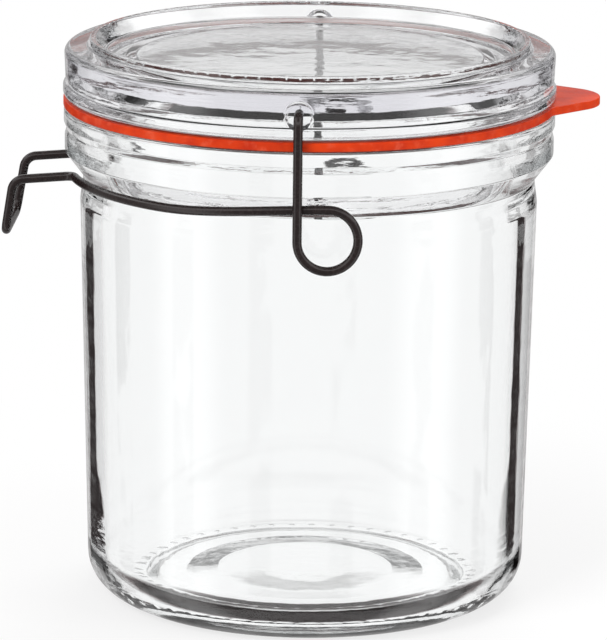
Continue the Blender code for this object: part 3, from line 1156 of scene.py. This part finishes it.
@dataclass
class WireBail:
    """One springy wire: hooks, spring loops, half ring and finger handle."""

    wire: float = 1.0 * MM
    wire_sides: int = 24
    arc_deg: float = 6.0
    swing_z: float = 117.4 * MM
    lid_radius: float = 53.9 * MM
    leg_y: float = 55.9 * MM
    tip_inset: float = 2.6 * MM
    hook_bend: float = 2.4 * MM
    loop: float = 6.35 * MM
    loop_rise: float = 2.1 * MM
    loop_turn_deg: int = 270
    loop_step_deg: int = 5
    crossing_gap: float = 0.6 * MM
    ring: float = 52.5 * MM
    ring_z: float = 95.3 * MM
    ring_step_deg: float = 1.5
    blend_deg: float = 42.0
    draw_power: float = 1.5
    handle_half: float = 12.8 * MM
    handle_taper: float = 1.3 * MM
    reach: float = 13.1 * MM
    fall: float = 1.1 * MM
    drop: float = 12.0 * MM
    splay: float = 2.0 * MM
    bend: float = 2.5 * MM
    corner: float = 3.0 * MM

    def ring_draw(self) -> float:
        """Work out how far out of its seat the ring starts, where it leaves the loop.

        Returns:
            The distance, which lets the ring cross its own leg without touching it.
        """
        crossing = self.leg_y - 2 * self.wire - self.crossing_gap
        blend = math.degrees(math.atan2(self.loop, crossing)) / self.blend_deg
        return (crossing - self.ring) / (1 - blend) ** self.draw_power

    def ring_point(self, turn_deg: float, blend: float) -> Vector:
        """Return a point of the half ring.

        Args:
            turn_deg: Its angle round the jar.
            blend: How far it has come from the loop, 0, to its seat, 1.

        Returns:
            The point.
        """
        radius = self.ring + self.ring_draw() * (1 - blend) ** self.draw_power
        turn = math.radians(turn_deg)
        height = self.ring_z + self.loop_rise * (1 - eased(blend))
        return Vector((radius * math.cos(turn), radius * math.sin(turn), height))

    def front_half(self) -> list[Vector]:
        """Lay the front half of the wire.

        Returns:
            Its points, from the front hook's tip to the handle's middle.
        """
        loop_z = self.ring_z + self.loop_rise - self.loop
        points = rounded([
            (Vector((0, self.tip_inset - self.lid_radius, self.swing_z)), 0.0),
            (Vector((0, -self.leg_y, self.swing_z)), self.hook_bend),
            (Vector((0, -self.leg_y, loop_z)), 0.0),
        ], self.arc_deg)
        start_deg = -90 + math.degrees(math.atan2(self.loop, self.ring + self.ring_draw()))
        end_y = self.ring_point(start_deg, 0).y
        for turned in range(self.loop_step_deg, self.loop_turn_deg, self.loop_step_deg):
            turn = math.radians(180 + turned)
            points.append(Vector((
                self.loop + self.loop * math.cos(turn),
                -self.leg_y + (end_y + self.leg_y) * eased(turned / self.loop_turn_deg),
                loop_z + self.loop * math.sin(turn),
            )))
        bend_deg = 180 + math.degrees(
            math.asin(self.handle_half / math.hypot(self.ring, self.bend))
            + math.atan2(self.bend, self.ring)
        )
        sweep = start_deg + 360 - bend_deg
        steps = math.ceil(sweep / self.ring_step_deg)
        for step in range(steps + 1):
            turned = sweep * step / steps
            points.append(self.ring_point(start_deg - turned, min(1, turned / self.blend_deg)))
        last = points.pop()
        turn = math.radians(bend_deg)
        bend = last + Vector((math.sin(turn), -math.cos(turn), 0)) * self.bend
        elbow = bend + Vector((-self.reach, 0, -self.fall))
        corner = elbow + Vector((-self.splay, self.handle_taper, -self.drop))
        points += rounded([
            (last, 0.0), (bend, self.bend), (elbow, self.corner), (corner, self.corner),
            (Vector((corner.x, 0, corner.z)), 0.0),
        ], self.arc_deg)
        return points

    def build(self, material: Material) -> Piece:
        """Sweep the wire along its line with Geometry Nodes.

        Args:
            material: The lacquered steel.

        Returns:
            The bail.
        """
        front = self.front_half()
        line = front + [Vector((p.x, -p.y, p.z)) for p in reversed(front[:-1])]
        curve = bpy.data.curves.new("bail_wire", "CURVE")
        curve.dimensions = "3D"
        spline = curve.splines.new("POLY")
        spline.points.add(len(line) - 1)
        for target, point in zip(spline.points, line):
            target.co = (*point, 1)
        values = {"Radius": self.wire, "Sides": self.wire_sides}
        tree, sketch, given = shape_tree("drawn_wire", values)
        feeds = {"Resolution": given["Sides"], "Radius": given["Radius"]}
        ring = sketch.add("GeometryNodeCurvePrimitiveCircle", feeds)
        sweep = sketch.add("GeometryNodeCurveToMesh", {
            "Curve": given["Geometry"], "Profile Curve": ring.outputs[0], "Fill Caps": True,
        })
        smooth = sketch.add("GeometryNodeSetShadeSmooth", {"Geometry": sweep.outputs[0]})
        end_shape(sketch, smooth.outputs[0], given["Material"])
        piece = baked(placed("bail_wire", curve), tree, {**values, "Material": material})
        if signed_volume(piece.data) < 0:
            piece.data.flip_normals()
        piece.data.set_sharp_from_angle(angle=SHARP_ANGLE)
        dress(piece, Body.BAIL, "wire_bail")
        return piece


class WhiteRoom(Sketch):
    """What the glass sees round it: a white room with dark cards and bright windows.

    What a ray meets depends on how it came, since each dark line of the glass belongs to
    one way through it. The camera sees plain white, and matt surfaces get an even light.
    Heights are those of a direction, from -1 to 1, angles are in degrees off the camera's
    axis, and a span is where a share rises or falls. The two large cards, left and right,
    reach from the angles of card_from to those of card_to.
    """

    card_from: Span = (18.0, 29.5)
    card_to: Span = (33.0, 41.0)
    card_edge: Span = (-1.0, 1.5)
    card_foot: float = 9.0
    card_dark: float = 0.98
    flank: Span = (-0.36, -0.32)
    ceiling: Span = (0.26, 0.42)
    ceiling_light: float = 0.005
    ground: Span = (-0.66, -0.48)
    ground_light: float = 0.03
    trapped_share: float = 0.15
    trapped_least: float = 0.06
    window_light: float = 2.4
    matt_light: float = 0.5
    shade: float = 0.2
    warm_dark: Colour = (1.0, 0.82, 0.82)

    def __init__(self, heading_deg: float) -> None:
        """Start the scene's world and read each ray's way and history.

        Args:
            heading_deg: The angle of the camera's axis.
        """
        world = bpy.data.worlds.new("studio")
        world.use_nodes = True
        bpy.context.scene.world = world
        super().__init__(world.node_tree)
        self.way = self.add("ShaderNodeTexCoord").outputs["Generated"]
        x, y, self.z = self.add("ShaderNodeSeparateXYZ", {0: self.way}).outputs
        self.path = self.add("ShaderNodeLightPath").outputs
        self.turn = self.math("ARCTAN2", x, y)
        aside = self.math("ADD", self.turn, math.radians(heading_deg))
        self.right = self.math("GREATER_THAN", aside, 0.0)
        self.angle = self.product(self.math("ABSOLUTE", aside), math.degrees(1))
        self.once = self.counted("Glossy Depth", 1.0)
        self.outside = self.counted("Transmission Depth", 0.0)

    def counted(self, depth: str, count: float, spread: float = 0.5) -> Socket:
        """Return one for a ray whose depth of a kind is about a count, nought for others."""
        return self.math("COMPARE", self.path[depth], count, spread)

    def beyond(self, depth: str, count: float) -> Socket:
        """Return one for a ray whose depth of a kind is over a count, nought for others."""
        return self.math("GREATER_THAN", self.path[depth], count)

    def walls(self) -> Socket:
        """Light the walls, and stand the dark cards before them.

        Returns:
            The walls' light, from nearly 0 to 1.
        """
        foot = self.ramp(self.z, -0.274, -0.25, self.card_foot, 0.0)
        near = self.mixed(self.right, *self.card_from)
        far = self.math("ADD", self.mixed(self.right, *self.card_to), foot)
        card = self.product(
            self.ramp(self.math("SUBTRACT", self.angle, near), *self.card_edge),
            self.ramp(self.math("SUBTRACT", far, self.angle), *self.card_edge),
        )
        streaks = self.noise(self.scaled(self.way, (3.0, 3.0, 34.0)), 1.0, 3.0, 0.6)
        bands = self.ramp(streaks, 0.44, 0.52)
        eighths = self.math("COSINE", self.product(self.turn, 8.0))
        others = self.product(
            self.ramp(eighths, -0.78, -0.5, 1.0, 0.0), bands, self.ramp(self.angle, 44.0, 46.0)
        )
        wall = self.math("COMPARE", self.z, -0.24, 0.06)
        card = self.product(card, self.math("MAXIMUM", wall, self.product(bands, 0.5)))
        once = self.product(self.once, self.math("MAXIMUM", card, others))
        thrice = self.product(self.counted("Glossy Depth", 3.0), wall, 0.9)
        inside = self.counted("Transmission Depth", 2.0, 1.2)
        caught = self.product(inside, self.math("MAXIMUM", once, thrice))
        glanced = self.product(
            self.once, self.outside, self.ramp(self.z, *self.flank),
            self.ramp(self.angle, 18.0, 22.0), self.ramp(self.angle, 50.0, 56.0, 1.0, 0.0),
        )
        return self.rest(self.product(self.math("MAXIMUM", caught, glanced), self.card_dark))

    def gloom(self) -> Socket:
        """Dim the ceiling and the ground for rays that the glass has turned aside.

        Returns:
            The share of light that they leave.
        """
        ceiling = self.ramp(self.z, *self.ceiling, 1.0, self.ceiling_light)
        ground = self.ramp(self.z, *self.ground, self.ground_light, 1.0)
        bounced = self.beyond("Glossy Depth", 0.5)
        many = self.beyond("Transmission Depth", 3.5)
        few = self.product(bounced, self.rest(many))
        straight = self.product(many, self.rest(bounced), self.ramp(self.z, -0.95, -0.85))
        high = self.product(few, self.rest(ceiling))
        low = self.product(self.math("ADD", few, straight), self.rest(ground))
        return self.product(self.rest(high), self.rest(low))

    def windows(self) -> Socket:
        """Open the bright strip above and the bright boxes to the camera's left and right.

        Returns:
            Their light.
        """
        strip = self.product(
            self.ramp(self.z, 0.42, 0.5), self.ramp(self.z, 0.7, 0.78, 1.0, 0.0)
        )
        box = self.ramp(self.apart(self.angle, 116.0), 6.0, 24.0, 1.0, 0.0)
        bright = self.math("MAXIMUM", strip, self.product(box, 0.7))
        return self.product(bright, self.window_light)

    def build(self) -> None:
        """Put the room together, by what each kind of ray sees of it."""
        walls = self.walls()
        trapped = self.beyond("Glossy Depth", MOST_BOUNCES - 0.5)
        left = self.math("MULTIPLY_ADD", trapped, self.trapped_share - 1, 1.0)
        room = self.math(
            "MAXIMUM",
            self.product(walls, self.gloom(), left), self.product(trapped, self.trapped_least),
        )
        mirrored = self.math("MULTIPLY_ADD", walls, 0.5, self.windows())
        room = self.mixed(self.product(self.once, self.outside), room, mirrored)
        path = self.path
        seen = self.math("MAXIMUM", path["Is Glossy Ray"], path["Is Transmission Ray"])
        shaded = self.product(self.beyond("Diffuse Depth", 0.5), seen)
        light = self.product(
            self.mixed(seen, self.matt_light, room),
            self.math("MULTIPLY_ADD", shaded, self.shade - 1, 1.0),
        )
        level = self.math("MAXIMUM", light, path["Is Camera Ray"])
        colour = self.blend(self.ramp(level, 0.0, 0.6), self.warm_dark, WHITE)
        sky = self.add("ShaderNodeBackground", {"Color": colour, "Strength": level})
        self.add("ShaderNodeOutputWorld", {"Surface": sky.outputs[0]})


@dataclass
class Studio:
    """The pale floor, the soft lights, the room and the camera.

    Attributes:
        shadow_share: The share of the floor's own shading that the camera sees.
        long_side: The photograph's longer side, in the pixels of focal and shift.
        aim_z: The height that the lights face.
    """

    floor_radius: float = 0.32
    floor_sides: int = 96
    floor_z: float = -0.02 * MM
    floor_colour: Colour = (0.86, 0.86, 0.86)
    shadow_share: float = 0.25
    eye: Triple = (0.0408, -0.9739, 0.2958)
    heading_deg: float = 2.4
    pitch_deg: float = 13.5895
    roll_deg: float = 0.6166
    long_side: int = 640
    focal: float = 4506.42
    shift: Span = (-3.7, 3.18)
    sensor: float = 36
    aim_z: float = 0.06

    def floor_material(self) -> Material:
        """Paint the floor, which glass and reflections don't see.

        Returns:
            The material.
        """
        material = bpy.data.materials.new("pale_floor")
        material.use_nodes = True
        sketch = Sketch(material.node_tree)
        away = sketch.length(sketch.add("ShaderNodeTexCoord").outputs["Object"])
        keep = sketch.ramp(away, 0.07, self.floor_radius * 0.55, self.shadow_share, 0.0)
        matt = sketch.add("ShaderNodeBsdfDiffuse", {0: opaque(self.floor_colour)})
        glow = sketch.add("ShaderNodeEmission", {0: opaque(WHITE)})
        open_air = sketch.add("ShaderNodeBsdfTransparent")
        path = sketch.add("ShaderNodeLightPath").outputs
        shown = sketch.mixed_shader(keep, glow, matt)
        seen = sketch.mixed_shader(path["Is Camera Ray"], matt, shown)
        through = sketch.math("MAXIMUM", path["Is Transmission Ray"], path["Is Glossy Ray"])
        whole = sketch.mixed_shader(through, seen, open_air)
        sketch.add("ShaderNodeOutputMaterial", {"Surface": whole.outputs[0]})
        return material

    def floor(self) -> None:
        """Lay a round floor that keeps the jar's shadow and fades into the background."""
        radius, sides, z = self.floor_radius, self.floor_sides, self.floor_z
        turns = np.linspace(0, math.tau, sides, endpoint=False)
        points = [(0, 0, z)] + [(radius * math.cos(a), radius * math.sin(a), z) for a in turns]
        faces = [(0, 1 + i, 1 + (i + 1) % sides) for i in range(sides)]
        mesh = bpy.data.meshes.new("pale_floor")
        mesh.from_pydata(points, [], faces)
        mesh.update()
        mesh.materials.append(self.floor_material())
        placed("pale_floor", mesh)

    def lamp(self, name: str, place: Triple, size: float, power: float) -> None:
        """Hang a square soft light that faces the jar.

        Args:
            name: The light's name.
            place: Where it hangs.
            size: Its side.
            power: Its power in watts.
        """
        light = bpy.data.lights.new(name, "AREA")
        light.size = size
        light.energy = power
        lamp = placed(name, light)
        lamp.visible_glossy = lamp.visible_transmission = False
        lamp.location = place
        aim = Vector((0, 0, self.aim_z)) - Vector(place)
        lamp.rotation_euler = aim.to_track_quat("-Z", "Y").to_euler()

    def camera(self) -> None:
        """Set the camera at the photograph's viewing angle."""
        data = bpy.data.cameras.new("photo_camera")
        data.sensor_fit = "AUTO"
        data.sensor_width = self.sensor
        data.lens = self.sensor * (self.focal / self.long_side)
        data.shift_x, data.shift_y = (pixels / self.long_side for pixels in self.shift)
        data.clip_start, data.clip_end = 0.05, 20
        camera = placed("photo_camera", data)
        turn = (
            Matrix.Rotation(math.radians(self.heading_deg), 4, "Z")
            @ Matrix.Rotation(math.radians(90 - self.pitch_deg), 4, "X")
            @ Matrix.Rotation(math.radians(self.roll_deg), 4, "Z")
        )
        camera.matrix_world = Matrix.Translation(Vector(self.eye)) @ turn
        bpy.context.scene.camera = camera

    def build(self) -> None:
        """Set up the floor, the room, the lights and the camera."""
        self.floor()
        WhiteRoom(self.heading_deg).build()
        self.lamp("key_light", (-0.55, -0.75, 0.85), 0.5, 9.0)
        self.lamp("fill_light", (0.85, -0.45, 0.45), 0.5, 4.0)
        self.lamp("rim_light", (0.25, 0.75, 0.95), 0.6, 6.0)
        self.camera()
        bpy.context.scene.view_settings.view_transform = "Standard"


def main() -> None:
    """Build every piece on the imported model, then the studio."""
    logging.basicConfig(level=logging.INFO, format="%(name)s: %(message)s")
    for leftover in list(bpy.data.objects):
        bpy.data.objects.remove(leftover, do_unlink=True)
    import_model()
    effects = SharedEffects()
    jar_glass = GlassFinish(
        "clear_jar_glass", smooth_from=20 * MM, smooth_to=93 * MM
    ).material(effects)
    lid_glass = GlassFinish(
        "clear_lid_glass", depth_tint=(0.82, 0.815, 0.85), ripple_scale=95.0, streaks=0.5
    ).material(effects)
    rubber = RubberFinish("orange_red_rubber").material(effects)
    wire = WireFinish("bronze_lacquered_steel").material(effects)
    JarBody().build(jar_glass)
    Gasket().build(rubber)
    Lid().build(lid_glass)
    WireBail().build(wire)
    Studio().build()


if __name__ == "__main__":
    main()
